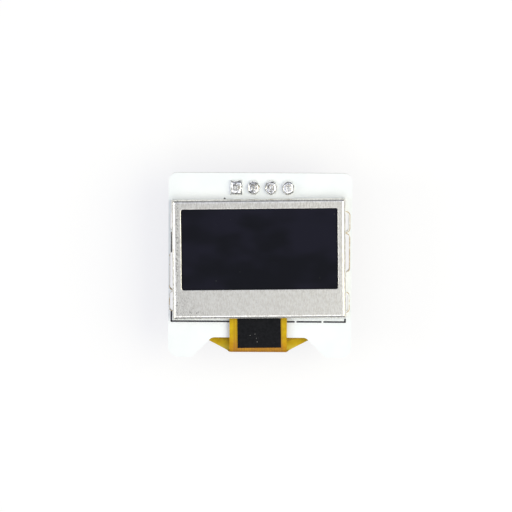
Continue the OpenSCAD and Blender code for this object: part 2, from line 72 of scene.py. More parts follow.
# %% Levels and places taken from the solids
MM = 0.001
HAIR = 0.001 * MM  # closer than this counts as the same place
board_low, board_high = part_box("circuit_board")
bezel_low, bezel_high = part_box("metal_bezel")
ribbon_low, ribbon_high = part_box("flex_ribbon")
film_low, film_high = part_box("polarizer_film")
back_z, front_z = board_low.z, board_high.z
board_middle = (board_low + board_high) / 2
bezel_middle = (bezel_low + bezel_high) / 2
ribbon_x = (ribbon_low.x + ribbon_high.x) / 2
numbered = {
    kind: sorted((n for n in nodes if n.startswith(kind)), key=lambda n: int(n.split("_")[-1]))
    for kind in ("header_pin_", "solder_joint_", "resistor_", "capacitor_")
}
print("board from", round(back_z / MM, 2), "to", round(front_z / MM, 2), "mm")

# %% [markdown]
# ## Tools for finishes
# A finish is a small network of nodes. Patterns read the Object coordinates, turned into millimetres, so
# that a grain of 0.2 means a fifth of a millimetre wherever it is used. Three short helpers cover most
# needs: a clouded noise, a ramp between two colours, and a bump that lets a height catch the light.

# %% Helpers for finishes
def new_finish(name, colour, roughness, metallic=0.0, specular=0.5):
    """A material with one Principled shader, and the tree that its pattern is built in."""
    material = bpy.data.materials.new(name)
    material.use_nodes = True
    shader = material.node_tree.nodes["Principled BSDF"]
    shader.inputs["Base Color"].default_value = (*colour, 1)
    shader.inputs["Roughness"].default_value = roughness
    shader.inputs["Metallic"].default_value = metallic
    shader.inputs["Specular IOR Level"].default_value = specular
    return material, material.node_tree, shader


def millimetres(tree, stretch=(1, 1, 1)):
    """Object coordinates in millimetres, stretched for a grain with a direction."""
    place = tree.nodes.new("ShaderNodeTexCoord")
    mapping = tree.nodes.new("ShaderNodeMapping")
    mapping.inputs["Scale"].default_value = [s / MM for s in stretch]
    tree.links.new(place.outputs["Object"], mapping.inputs["Vector"])
    return mapping.outputs["Vector"]


def noise(tree, vector, scale, detail=3.0, roughness=0.5):
    """Clouds: scale is how many of them fit in a millimetre."""
    node = tree.nodes.new("ShaderNodeTexNoise")
    node.inputs["Scale"].default_value = scale
    node.inputs["Detail"].default_value = detail
    node.inputs["Roughness"].default_value = roughness
    tree.links.new(vector, node.inputs["Vector"])
    return node.outputs["Fac"]


def cells(tree, vector, scale):
    """The distance from scattered points, scale of them to a millimetre."""
    node = tree.nodes.new("ShaderNodeTexVoronoi")
    node.inputs["Scale"].default_value = scale
    tree.links.new(vector, node.inputs["Vector"])
    return node.outputs["Distance"]


def remap(tree, value, low, high, to_low=0.0, to_high=1.0):
    """A soft step: to_low below low, to_high above high, smooth between."""
    node = tree.nodes.new("ShaderNodeMapRange")
    node.interpolation_type = "SMOOTHSTEP"
    for socket, number in (("From Min", low), ("From Max", high), ("To Min", to_low), ("To Max", to_high)):
        node.inputs[socket].default_value = number
    tree.links.new(value, node.inputs["Value"])
    return node.outputs["Result"]


def calculate(tree, operation, *values):
    """One Math node: each value is a number or another node's output."""
    node = tree.nodes.new("ShaderNodeMath")
    node.operation = operation
    for socket, value in zip(node.inputs, values):
        if isinstance(value, (int, float)):
            socket.default_value = value
        else:
            tree.links.new(value, socket)
    return node.outputs["Value"]


def mix(tree, factor, first, second):
    """A Mix node for colours: each of the two is a colour or another node's output."""
    node = tree.nodes.new("ShaderNodeMix")
    node.data_type = "RGBA"
    for socket, value in ((node.inputs[0], factor), (node.inputs[6], first), (node.inputs[7], second)):
        if isinstance(value, (int, float)):
            socket.default_value = value
        elif isinstance(value, tuple):
            socket.default_value = (*value, 1)
        else:
            tree.links.new(value, socket)
    return node.outputs[2]


def away_from(tree, value, line):
    """How far a coordinate is from a line, on either side of it."""
    return calculate(tree, "ABSOLUTE", calculate(tree, "SUBTRACT", value, line))


def axes(tree, vector):
    """The three numbers of a vector, apart."""
    node = tree.nodes.new("ShaderNodeSeparateXYZ")
    tree.links.new(vector, node.inputs[0])
    return node.outputs["X"], node.outputs["Y"], node.outputs["Z"]


def bump(tree, shader, height, depth):
    """Lets a height from 0 to 1 stand depth millimetres proud, for the light alone."""
    node = tree.nodes.new("ShaderNodeBump")
    node.inputs["Strength"].default_value = 1
    node.inputs["Distance"].default_value = depth * MM
    tree.links.new(height, node.inputs["Height"])
    tree.links.new(node.outputs["Normal"], shader.inputs["Normal"])


print("helpers for finishes are ready")

# %% [markdown]
# ## Finishes of the board
# White solder mask is a thick satin paint. It is never quite even: it pools a little, so its tone drifts
# by a percent and its surface has a faint orange peel. The milled edges and the slots' rims show the bare
# glass-epoxy, a warm tan with the ends of its weave.

# %% White solder mask
def solder_mask():
    material, tree, shader = new_finish("white_solder_mask", (0.92, 0.96, 0.975), 0.42)
    vector = millimetres(tree)
    drift = remap(tree, noise(tree, vector, 0.25, 2), 0.35, 0.65)
    colour = mix(tree, drift, (0.905, 0.948, 0.962), (0.935, 0.968, 0.98))
    tree.links.new(colour, shader.inputs["Base Color"])
    tree.links.new(remap(tree, noise(tree, vector, 1.2), 0.3, 0.7, 0.36, 0.5), shader.inputs["Roughness"])
    bump(tree, shader, noise(tree, vector, 4, 2), 0.004)
    return material


WHITE_MASK = solder_mask()
print("made", WHITE_MASK.name)

# %% Milled edge of the board
def milled_laminate(name, mask_share):
    """Bare glass-epoxy, with mask run down over it by mask_share."""
    material, tree, shader = new_finish(name, (0.62, 0.52, 0.38), 0.6)
    fine = noise(tree, millimetres(tree, (2, 2, 14)), 1.5, 3)
    tan = mix(tree, remap(tree, fine, 0.35, 0.65), (0.52, 0.40, 0.26), (0.72, 0.61, 0.45))
    run = remap(tree, noise(tree, millimetres(tree), 0.9, 3), 0.62 - mask_share / 2, 0.72 - mask_share / 2)
    tree.links.new(mix(tree, run, tan, (0.86, 0.86, 0.83)), shader.inputs["Base Color"])
    bump(tree, shader, fine, 0.012)
    return material


BOARD_EDGE = milled_laminate("milled_board_edge", 0.55)
SLOT_RIM = milled_laminate("bare_slot_rim", 0.1)
MASKED_RIM = milled_laminate("masked_slot_rim", 0.45)
print("made", BOARD_EDGE.name, SLOT_RIM.name, MASKED_RIM.name)

# %% [markdown]
# Printed ink is a dark blue-black paint, with a fine grain of paler grey where the layer is thin.

# %% Printed ink
def printed_ink():
    material, tree, shader = new_finish("black_print", (0.025, 0.024, 0.035), 0.55)
    grain = noise(tree, millimetres(tree), 9, 3)
    colour = mix(tree, remap(tree, grain, 0.58, 0.75), (0.02, 0.019, 0.03), (0.10, 0.10, 0.13))
    tree.links.new(colour, shader.inputs["Base Color"])
    bump(tree, shader, grain, 0.006)
    return material


BLACK_PRINT = printed_ink()
print("made", BLACK_PRINT.name)

# %% [markdown]
# ## Finish of the bezel
# The bezel is tin-plated steel sheet. Rolling leaves short streaks along the sheet, plating leaves a
# mottle, and handling wears dark specks into the left margin, beside the bend that was pressed last.
# So one stretched noise makes the streaks, a second one the mottle, and a third one, the specks, is let
# through only in a narrow margin along the left, in a short strip above the lower bend, and more faintly on
# the face near the lower left corner.

# %% Tinned steel
STREAK_SHARE = 0.6  # of the tone, and the mottle has the rest
MARGIN_PLACE = 0.85  # mm from the left wall to the middle of the worn margin
STRIP_PLACE = 1.05  # mm from the lower wall to the middle of the worn strip


def tinned_steel():
    material, tree, shader = new_finish("tinned_steel", (0.8, 0.79, 0.75), 0.3, metallic=1)
    vector = millimetres(tree)
    streaks = noise(tree, millimetres(tree, (8, 1.5, 3)), 1, 4, 0.65)
    mottle = noise(tree, vector, 1.8, 4, 0.6)
    streak_tone = calculate(tree, "MULTIPLY", streaks, STREAK_SHARE)
    mottle_tone = calculate(tree, "MULTIPLY", mottle, 1 - STREAK_SHARE)
    tone = calculate(tree, "ADD", streak_tone, mottle_tone)
    colour = mix(tree, remap(tree, tone, 0.40, 0.60), (0.69, 0.675, 0.63), (0.93, 0.92, 0.87))

    x, y, _ = axes(tree, vector)
    left, low = bezel_low.x / MM, bezel_low.y / MM
    margin = remap(tree, away_from(tree, x, left + MARGIN_PLACE), 0.1, 0.3, 1, 0)
    strip = remap(tree, away_from(tree, y, low + STRIP_PLACE), 0.1, 0.4, 1, 0)
    strip = calculate(tree, "MULTIPLY", strip, remap(tree, x, left + 3, left + 6.5, 1, 0))
    face = remap(tree, x, left + 2, left + 5, 0.5, 0)
    face = calculate(tree, "MULTIPLY", face, remap(tree, y, low + 3, low + 4.5, 1, 0))
    worn = calculate(tree, "MAXIMUM", calculate(tree, "MAXIMUM", margin, strip), face)
    grit = noise(tree, millimetres(tree, (1, 0.7, 1)), 5.5, 3, 0.7)
    specks = calculate(tree, "MULTIPLY", worn, remap(tree, grit, 0.5, 0.62, 0, 0.8))
    tree.links.new(mix(tree, specks, colour, (0.28, 0.275, 0.26)), shader.inputs["Base Color"])
    tree.links.new(remap(tree, tone, 0.35, 0.65, 0.34, 0.28), shader.inputs["Roughness"])
    bump(tree, shader, streaks, 0.008)
    return material


STEEL = tinned_steel()
print("made", STEEL.name)

# %% [markdown]
# ## Finishes of the panel
# The polarizer is a nearly black film with a faint blue cast and an anti-glare skin, which is why it
# mirrors so little. A few specks of dust lie on it. Behind it the glass plates are clear with a green edge.

# %% Polarizer film, glass, chip and foam
def dust(tree, scale, size):
    """1 on scattered specks and 0 between them: a speck stays only where a coarse noise allows it."""
    vector = millimetres(tree)
    grain = remap(tree, cells(tree, vector, scale), size * 0.6, size, 1, 0)
    here = remap(tree, noise(tree, vector, scale * 0.37, 0), 0.6, 0.66)
    return calculate(tree, "MULTIPLY", grain, here)


def polarizer():
    material, tree, shader = new_finish("polarizer_film", (0.006, 0.006, 0.012), 0.22, specular=0.13)
    haze = noise(tree, millimetres(tree, (0.12, 0.2, 1)), 1, 2)
    black = mix(tree, remap(tree, haze, 0.4, 0.62), (0.0055, 0.006, 0.010), (0.010, 0.010, 0.019))
    tree.links.new(mix(tree, dust(tree, 0.9, 0.055), black, (0.10, 0.11, 0.10)), shader.inputs["Base Color"])
    return material


def panel_glass():
    material, tree, shader = new_finish("panel_glass", (0.55, 0.66, 0.62), 0.06)
    shader.inputs["IOR"].default_value = 1.52
    shader.inputs["Transmission Weight"].default_value = 0.75
    cloud = remap(tree, noise(tree, millimetres(tree), 0.4), 0.3, 0.7)
    tree.links.new(mix(tree, cloud, (0.48, 0.6, 0.56), (0.6, 0.7, 0.66)), shader.inputs["Base Color"])
    return material


def driver_die():
    material, tree, shader = new_finish("driver_die", (0.05, 0.055, 0.07), 0.25, specular=0.7)
    cloud = remap(tree, noise(tree, millimetres(tree, (1, 6, 1)), 1.5), 0.3, 0.7)
    tree.links.new(mix(tree, cloud, (0.04, 0.043, 0.055), (0.07, 0.075, 0.1)), shader.inputs["Base Color"])
    return material


def grey_foam():
    material, tree, shader = new_finish("grey_foam", (0.18, 0.18, 0.18), 0.9, specular=0.2)
    pores = cells(tree, millimetres(tree), 7)
    colour = mix(tree, remap(tree, pores, 0.1, 0.5), (0.09, 0.09, 0.09), (0.24, 0.24, 0.235))
    tree.links.new(colour, shader.inputs["Base Color"])
    bump(tree, shader, pores, 0.04)
    return material


POLARIZER, GLASS, DIE, FOAM = polarizer(), panel_glass(), driver_die(), grey_foam()
print("made", POLARIZER.name, GLASS.name, DIE.name, FOAM.name)

# %% [markdown]
# ## Finish of the ribbon
# The ribbon is polyimide film over thirty copper traces. The film is clear amber, so the copper shows
# through it as fine orange-brown lines, and the bare margins stay yellow. Light and shade are painted into
# the film as well: in front it is painted lighter yellow over the white board and darker orange, painted
# shade, where it hangs over the notch by the fold; on the tail a strip by the fold is painted bright, as
# painted light past the board's edge, and the rest darker, as the board's painted shadow. The traces run
# straight down the narrow part, close together, and fan out on the tail to the wide pitch of the joints. A
# fraction of x divided by the local pitch makes the lines, and the pitch itself is a ramp along y.

# %% Amber ribbon with copper traces
JOINTS = 30
JOINT_W = 0.34  # mm
TRACE_PITCH = 0.245  # mm, on the narrow part
TAIL_TOP = 0.35  # mm above the board's back, and the ribbon below it is tail
FAN_START, FAN_END = 0.9, 3.4  # mm above the fold, where the traces spread
COPPER_SHARE = 0.75  # how much of a trace's colour shows through the film
joints_low, joints_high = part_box("ribbon_solder_joints")
JOINT_PITCH = ((joints_high.x - joints_low.x) / MM - JOINT_W) / (JOINTS - 1)
fold_y = ribbon_low.y / MM


def amber_film():
    material, tree, shader = new_finish("amber_film", (0.6, 0.36, 0.015), 0.25, specular=0.12)
    vector = millimetres(tree)
    x, y, z = axes(tree, vector)
    away = calculate(tree, "SUBTRACT", x, ribbon_x / MM)
    tail_top = back_z / MM + TAIL_TOP
    under = remap(tree, z, tail_top, tail_top + 0.01, 1, 0)
    fan = calculate(tree, "MULTIPLY", under, remap(tree, y, fold_y + FAN_START, fold_y + FAN_END))
    spread = calculate(tree, "MULTIPLY", fan, JOINT_PITCH - TRACE_PITCH)
    pitch = calculate(tree, "ADD", TRACE_PITCH, spread)
    place = calculate(tree, "DIVIDE", away, pitch)
    wave = away_from(tree, calculate(tree, "FRACT", place), 0.5)
    trace = remap(tree, wave, 0.2, 0.32)
    within = remap(tree, calculate(tree, "ABSOLUTE", place), JOINTS / 2 - 0.1, JOINTS / 2, 1, 0)
    copper = calculate(tree, "MULTIPLY", trace, within)
    # painted shade: near the fold, over the notch, the film and its copper lines are darker and more orange
    # than over the white board
    shade_near_fold = remap(tree, y, fold_y + 0.35, fold_y + 3.2, 1, 0)
    cloud = remap(tree, noise(tree, vector, 0.9, 3), 0.3, 0.7)
    yellow = mix(tree, cloud, (0.55, 0.35, 0.009), (0.66, 0.45, 0.013))
    orange = mix(tree, cloud, (0.48, 0.225, 0.008), (0.58, 0.29, 0.010))
    front = mix(tree, shade_near_fold, yellow, orange)
    # painted light and shade: the tail is bright yellow in a strip by the fold, where light reaches past the
    # board's edge, and darker yellow in the board's painted shadow above it
    tail = mix(tree, remap(tree, y, fold_y + 0.3, fold_y + 1.3), (0.74, 0.58, 0.06), yellow)
    film = mix(tree, under, front, tail)
    lines = mix(tree, shade_near_fold, (0.42, 0.22, 0.010), (0.36, 0.14, 0.05))
    shown = calculate(tree, "MULTIPLY", copper, COPPER_SHARE)
    tree.links.new(mix(tree, shown, film, lines), shader.inputs["Base Color"])
    bump(tree, shader, copper, 0.012)
    return material


def black_tape():
    material, tree, shader = new_finish("black_tape", (0.007, 0.008, 0.010), 0.42, specular=0.1)
    vector = millimetres(tree)
    cloth = noise(tree, vector, 3, 4, 0.6)
    black = mix(tree, remap(tree, cloth, 0.35, 0.7), (0.004, 0.0045, 0.006), (0.009, 0.0095, 0.012))
    specks = dust(tree, 1.6, 0.1)
    tree.links.new(mix(tree, specks, black, (0.34, 0.34, 0.33)), shader.inputs["Base Color"])
    tree.links.new(remap(tree, cloth, 0.3, 0.7, 0.36, 0.55), shader.inputs["Roughness"])
    bump(tree, shader, cloth, 0.01)
    return material


AMBER, TAPE = amber_film(), black_tape()
print("made", AMBER.name, "with joints", round(JOINT_PITCH, 3), "mm apart, and", TAPE.name)

# %% [markdown]
# ## Finishes of the header and the small parts
# Solder freezes with a wrinkled, bright skin, so it gets a strong bump and little roughness. Pins are
# gold-flashed brass with drawing lines along them. Moulded plastic is a soft black with a fine grain.

# %% Solder, gold and black plastic
def bright_solder():
    material, tree, shader = new_finish("bright_solder", (0.72, 0.72, 0.71), 0.16, metallic=1)
    vector = millimetres(tree)
    wrinkle = noise(tree, vector, 1.6, 3, 0.55)
    grey = remap(tree, noise(tree, vector, 2.2, 3), 0.38, 0.5)
    colour = mix(tree, grey, (0.35, 0.35, 0.34), (0.95, 0.95, 0.95))
    tree.links.new(colour, shader.inputs["Base Color"])
    tree.links.new(remap(tree, wrinkle, 0.3, 0.7, 0.1, 0.26), shader.inputs["Roughness"])
    bump(tree, shader, wrinkle, 0.1)
    return material


def gold_flash():
    material, tree, shader = new_finish("gold_flash", (0.83, 0.58, 0.22), 0.26, metallic=1)
    drawn = noise(tree, millimetres(tree, (9, 9, 0.6)), 1, 3)
    colour = mix(tree, remap(tree, drawn, 0.35, 0.65), (0.72, 0.48, 0.17), (0.88, 0.64, 0.27))
    tree.links.new(colour, shader.inputs["Base Color"])
    tree.links.new(remap(tree, drawn, 0.3, 0.7, 0.2, 0.36), shader.inputs["Roughness"])
    bump(tree, shader, drawn, 0.004)
    return material


def moulded_black(name, colour, grain_size):
    material, tree, shader = new_finish(name, colour, 0.5, specular=0.4)
    grain = noise(tree, millimetres(tree), grain_size, 4, 0.6)
    lighter = tuple(1.7 * c + 0.004 for c in colour)
    tree.links.new(mix(tree, remap(tree, grain, 0.35, 0.7), colour, lighter), shader.inputs["Base Color"])
    tree.links.new(remap(tree, grain, 0.3, 0.7, 0.42, 0.6), shader.inputs["Roughness"])
    bump(tree, shader, grain, 0.01)
    return material


SOLDER, GOLD = bright_solder(), gold_flash()
HOUSING = moulded_black("header_plastic", (0.012, 0.012, 0.013), 5)
MOULDING = moulded_black("package_moulding", (0.016, 0.016, 0.018), 9)
print("made", SOLDER.name, GOLD.name, HOUSING.name, MOULDING.name)

# %% Ends, ceramics and resistor tops
def plated_tin():
    material, tree, shader = new_finish("plated_tin", (0.68, 0.68, 0.66), 0.34, metallic=1)
    cloud = noise(tree, millimetres(tree), 4, 3)
    colour = mix(tree, remap(tree, cloud, 0.35, 0.65), (0.58, 0.58, 0.56), (0.76, 0.76, 0.74))
    tree.links.new(colour, shader.inputs["Base Color"])
    bump(tree, shader, cloud, 0.008)
    return material


def ceramic(name, dark, light, roughness, specular=0.5):
    material, tree, shader = new_finish(name, light, roughness, specular=specular)
    cloud = noise(tree, millimetres(tree), 6, 4, 0.6)
    tree.links.new(mix(tree, remap(tree, cloud, 0.35, 0.65), dark, light), shader.inputs["Base Color"])
    bump(tree, shader, cloud, 0.006)
    return material


TIN = plated_tin()
CERAMIC_TAN = ceramic("capacitor_ceramic", (0.36, 0.24, 0.13), (0.46, 0.32, 0.19), 0.45)
CERAMIC_WHITE = ceramic("resistor_ceramic", (0.72, 0.71, 0.68), (0.84, 0.83, 0.80), 0.55)
RESISTOR_TOP = ceramic("resistor_glaze", (0.012, 0.012, 0.014), (0.028, 0.028, 0.03), 0.22, 0.6)
print("made", TIN.name, CERAMIC_TAN.name, CERAMIC_WHITE.name, RESISTOR_TOP.name)

# %% [markdown]
# ## Dressing the solids
# A solid keeps its mesh. Its material slots are filled, and where one solid shows several finishes, each
# face is pointed at the right slot by where it lies and which way it looks.

# %% Put finishes on the solids
WETTED = 0.5 * MM  # how far below the board's front the solder wets a pin
CHIP_END = 0.301 * MM  # length of a chip part's metal end, with a hair to spare


def dress(node, *finishes, choose=None):
    """Fills a solid's material slots. choose(middle, normal) gives the slot's number for each face."""
    mesh = nodes[node].data
    mesh.materials.clear()
    for finish in finishes:
        mesh.materials.append(finish)
    for face in mesh.polygons:
        face.material_index = choose(face.center, face.normal) if choose else 0


def board_face(middle, normal):
    return 0 if abs(normal.z) > 0.9 else 1


def pin_face(middle, normal):
    """A pin is gold behind the board, and wetted with solder from just below the board's front."""
    return 1 if middle.z > front_z - WETTED else 0


def chip_face(node, top):
    """Which finish each face of a chip part has: its body, its metal ends, or its top."""
    low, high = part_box(node)
    along = 0 if high.x - low.x > high.y - low.y else 1
    centre, end = (low[along] + high[along]) / 2, (high[along] - low[along]) / 2 - CHIP_END

    def choose(middle, normal):
        if abs(middle[along] - centre) > end:
            return 1
        return top if normal.z < -0.9 else 0
    return choose


dress("circuit_board", WHITE_MASK, BOARD_EDGE, choose=board_face)
for node, finish in {
    "metal_bezel": STEEL, "foam_pad": FOAM, "encapsulation_glass": GLASS, "substrate_glass": GLASS,
    "polarizer_film": POLARIZER, "driver_chip": DIE, "flex_ribbon": AMBER, "ribbon_shield_patch": TAPE,
    "ribbon_solder_joints": SOLDER, "header_housing": HOUSING, "regulator_case": MOULDING,
    "regulator_leads": TIN, "diode_case": MOULDING, "diode_leads": TIN, "component_solder": SOLDER,
}.items():
    dress(node, finish)
for node in numbered["header_pin_"]:
    dress(node, GOLD, SOLDER, choose=pin_face)
for node in numbered["solder_joint_"]:
    dress(node, SOLDER)
for node in numbered["resistor_"]:
    dress(node, CERAMIC_WHITE, TIN, RESISTOR_TOP, choose=chip_face(node, 2))
for node in numbered["capacitor_"]:
    dress(node, CERAMIC_TAN, TIN, choose=chip_face(node, 0))
print("dressed", len(nodes), "solids")

# %% [markdown]
# ## Tools for new pieces
# An operator works on whatever is selected, and loading left every solid selected. So each piece starts
# with a clean selection, and a piece is signed off by one function that applies its place, makes its
# normals agree, and lets it ride with the object.

# %% Helpers for modelling
def select_only(*pieces):
    if bpy.context.mode != "OBJECT":
        bpy.ops.object.mode_set(mode="OBJECT")
    bpy.ops.object.select_all(action="DESELECT")
    for piece in pieces:
        piece.select_set(True)
    bpy.context.view_layer.objects.active = pieces[0] if pieces else None


def edit_all(piece):
    select_only(piece)
    bpy.ops.object.mode_set(mode="EDIT")
    bpy.ops.mesh.select_mode(type="VERT")
    bpy.ops.mesh.select_all(action="SELECT")


def edit_where(piece, test):
    """Edit mode with only those corners selected whose place passes the test."""
    edit_all(piece)
    bpy.ops.mesh.select_all(action="DESELECT")
    bpy.ops.object.mode_set(mode="OBJECT")
    for corner in piece.data.vertices:
        corner.select = test(corner.co)
    bpy.ops.object.mode_set(mode="EDIT")


def join(name, pieces):
    select_only(*pieces)
    if len(pieces) > 1:
        bpy.ops.object.join()
    pieces[0].name = name
    return pieces[0]


def sign_off(piece, finish, smooth=30):
    """Puts the piece's place into its mesh, closes the job on normals and shading, and hands it over."""
    select_only(piece)
    bpy.ops.object.transform_apply(location=True, rotation=True, scale=True)
    edit_all(piece)
    bpy.ops.mesh.normals_make_consistent(inside=False)
    bpy.ops.object.mode_set(mode="OBJECT")
    bpy.ops.object.shade_smooth_by_angle(angle=radians(smooth))
    piece.data.materials.clear()
    piece.data.materials.append(finish)
    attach(piece, "root")
    print(piece.name, "has", len(piece.data.polygons), "faces")
    return piece


# %% [markdown]
# ## Worked edges of the bezel
# Punching a window rolls its upper edge over, and pressing leaves every other edge a little blunt. Both
# catch thin lines of light. The solid's mesh is loose triangles, so a copy of it is first merged and its
# flat faces are dissolved into one. Then the window's edge gets a round, the rest a very small bevel, and
# the weighted normals keep the flat sheet flat between them. The bends come in steps of 8 degrees and
# their mitres in steps of 10 and more, so smoothing up to 9 keeps each mitre crisp.

# %% Bezel with rolled edges
ROLL_OVER = 0.13 * MM
BLUNT = 0.025 * MM  # bevel on every other sharp edge


def merged_copy(node, name):
    """A copy of a solid with its triangles joined up and its flat faces whole."""
    piece = bpy.data.objects.new(name, nodes[node].data.copy())
    scene.collection.objects.link(piece)
    select_only(piece)
    bpy.ops.mesh.customdata_custom_splitnormals_clear()
    edit_all(piece)
    bpy.ops.mesh.remove_doubles(threshold=HAIR)
    bpy.ops.mesh.dissolve_limited(angle_limit=radians(1))
    bpy.ops.object.mode_set(mode="OBJECT")
    return piece


def modify(piece, kind, **settings):
    """Adds a modifier with these settings and applies it."""
    select_only(piece)
    modifier = piece.modifiers.new(kind.lower(), kind)
    for setting, value in settings.items():
        setattr(modifier, setting, value)
    bpy.ops.object.modifier_apply(modifier=modifier.name)


def on_window_edge(corner):
    across = film_low.x < corner.x < film_high.x
    along = film_low.y < corner.y < film_high.y
    return across and along and corner.z > bezel_high.z - 0.01 * MM


bezel = merged_copy("metal_bezel", "formed_bezel")
edit_where(bezel, on_window_edge)
bpy.ops.mesh.bevel(offset=ROLL_OVER, segments=12, affect="EDGES")
bpy.ops.object.mode_set(mode="OBJECT")
modify(bezel, "BEVEL", width=BLUNT, segments=2, limit_method="ANGLE", angle_limit=radians(50))
sign_off(bezel, STEEL, smooth=9)
modify(bezel, "WEIGHTED_NORMAL", keep_sharp=True)
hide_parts("metal_bezel")

# %% [markdown]
# ## Printed lines
# A printed line is a strip of ink with round ends. A plane is stretched to the line's length in edit mode,
# its four corners are rounded by a vertex bevel, and the shape is extruded by the ink's thickness. One
# function draws a stroke between two points, and a dot is a stroke with hardly any length.

# %% A printed stroke
INK = 0.012 * MM


def stroke(start, end, width, z, rounding=0.9):
    """A flat strip of ink from start to end, on the plane z."""
    run = Vector(end) - Vector(start)
    middle = (Vector(start) + Vector(end)) / 2
    select_only()
    bpy.ops.mesh.primitive_plane_add(size=1, location=(0, 0, 0))
    piece = bpy.context.object
    edit_all(piece)
    bpy.ops.transform.resize(value=(run.length + width, width, 1))
    bpy.ops.mesh.bevel(offset=rounding * width / 2, segments=3, affect="VERTICES")
    bpy.ops.mesh.select_all(action="SELECT")
    bpy.ops.mesh.extrude_region_move(TRANSFORM_OT_translate={"value": (0, 0, INK)})
    bpy.ops.object.mode_set(mode="OBJECT")
    piece.rotation_euler.z = atan2(run.y, run.x)
    piece.location = (middle.x, middle.y, z)
    bpy.ops.object.transform_apply(location=True, rotation=True, scale=True)
    return piece


def dot(centre, diameter, z):
    """A round spot of ink: a stroke with hardly any length."""
    return stroke(centre, (centre[0] + 0.1 * HAIR, centre[1]), diameter, z, rounding=0.98)


print("strokes are ready")

# %% [markdown]
# On the front a black outline marks where the display belongs. It was printed before the display was put
# on by hand, so the bezel covers most of it: what shows is the line below the bezel, broken in two places,
# and short lengths between the slots at the left.

# %% Outline printed on the front
LINE = 0.25 * MM
outline_left = board_middle.x - 13.03 * MM
outline_right = board_middle.x + 12.58 * MM
outline_low = board_middle.y - 8.33 * MM
HALF_BREAK = 0.235 * MM
breaks = [board_middle.x + 5.29 * MM, board_middle.x + 9.26 * MM]
below = [
    (outline_left, breaks[0] - HALF_BREAK),
    (breaks[0] + HALF_BREAK, breaks[1] - HALF_BREAK),
    (breaks[1] + HALF_BREAK, outline_right),
]
upright = [
    (outline_right, outline_low, outline_low + 0.4 * MM),
    (outline_left, board_middle.y - 8.33 * MM, board_middle.y - 6.95 * MM),
    (outline_left, board_middle.y + 1.95 * MM, board_middle.y + 4.75 * MM),
]

marks = [stroke((start, outline_low), (end, outline_low), LINE, front_z) for start, end in below]
marks += [stroke((x, low), (x, high), LINE, front_z) for x, low, high in upright]
marks.append(dot((board_middle.x - 5.27 * MM, board_middle.y + 9.8 * MM), 0.28 * MM, front_z))
sign_off(join("printed_outline", marks), BLACK_PRINT)

# %% [markdown]
# ## Rims of the slots
# The mask stops short of each slot, so a narrow rim of bare laminate shows round it. The slots are read
# from the board's own mesh: on each side, the corners nearest the middle of the board are the ends of the
# slots' straight inner walls. A rim is a circle pulled apart into a slot's shape, filled, inset, and left
# with only its border, which is then given a little thickness. In front, the left slots' rims are
# partly masked over, and the highest of them has none.

# %% Find the slots in the board
SLOT_ZONE = (11.5 * MM, 13.4 * MM)  # distances from the board's middle between which the slots lie


def slots_of_board():
    slots = []
    front = [v.co.copy() for v in nodes["circuit_board"].data.vertices if abs(v.co.z - front_z) < HAIR]
    for side in (-1, 1):
        near = [
            c for c in front
            if SLOT_ZONE[0] < side * (c.x - board_middle.x) < SLOT_ZONE[1]
            and bezel_low.y < c.y < bezel_high.y
        ]
        inner = min(side * (c.x - board_middle.x) for c in near)
        outer = max(side * (c.x - board_middle.x) for c in near)
        ends = sorted({round(c.y, 6) for c in near if side * (c.x - board_middle.x) < inner + HAIR})
        for low, high in zip(ends[::2], ends[1::2]):
            middle = (board_middle.x + side * (inner + outer) / 2, (low + high) / 2)
            slots.append((middle, outer - inner, high - low))
    return slots


SLOTS = slots_of_board()
print("slots:", [(round(w / MM, 2), round(l / MM, 2)) for _, w, l in SLOTS])

# %% Bare rims
RIM = 0.13 * MM
RIM_HEIGHT = 0.01 * MM


def slot_rim(middle, width, straight, z, thickness):
    select_only()
    radius = width / 2 + RIM
    bpy.ops.mesh.primitive_circle_add(vertices=32, radius=radius, fill_type="NGON", location=(0, 0, 0))
    piece = bpy.context.object
    edit_where(piece, lambda corner: corner.y > HAIR)
    bpy.ops.transform.translate(value=(0, straight, 0))
    bpy.ops.mesh.select_all(action="SELECT")
    bpy.ops.mesh.inset(thickness=RIM)
    bpy.ops.mesh.delete(type="FACE")
    bpy.ops.mesh.select_all(action="SELECT")
    bpy.ops.mesh.extrude_region_move(TRANSFORM_OT_translate={"value": (0, 0, thickness)})
    bpy.ops.object.mode_set(mode="OBJECT")
    piece.location = (middle[0], middle[1] - straight / 2, z)
    return piece


def rims_at(slots, z, thickness):
    rims = [slot_rim(*slot, z, thickness) for slot in slots]
    for rim in rims:
        select_only(rim)
        bpy.ops.object.transform_apply(location=True, rotation=True, scale=True)
    return rims


left_slots = [slot for slot in SLOTS if slot[0][0] < board_middle.x]
left_slots = [slot for slot in left_slots if slot[0][1] < bezel_middle.y + 3 * MM]
right_slots = [slot for slot in SLOTS if slot[0][0] > board_middle.x]
sign_off(join("left_slot_rims", rims_at(left_slots, front_z, RIM_HEIGHT)), MASKED_RIM)
bare = rims_at(right_slots, front_z, RIM_HEIGHT) + rims_at(SLOTS, back_z, -RIM_HEIGHT)
sign_off(join("bare_slot_rims", bare), SLOT_RIM)

# %% [markdown]
# ## Stage, light and camera
# The object stands on its pins on a white table in a light tent. The table's paint glows a little for the
# camera, so that the background is white while the object's shadow stays, and mirrors see the same.

# %% White table
GLOW = (0.68, 0.68, 0.73)
TABLE_SIZE = 1.6  # m
TABLE_GAP = 0.02 * MM  # between the pins' tips and the table


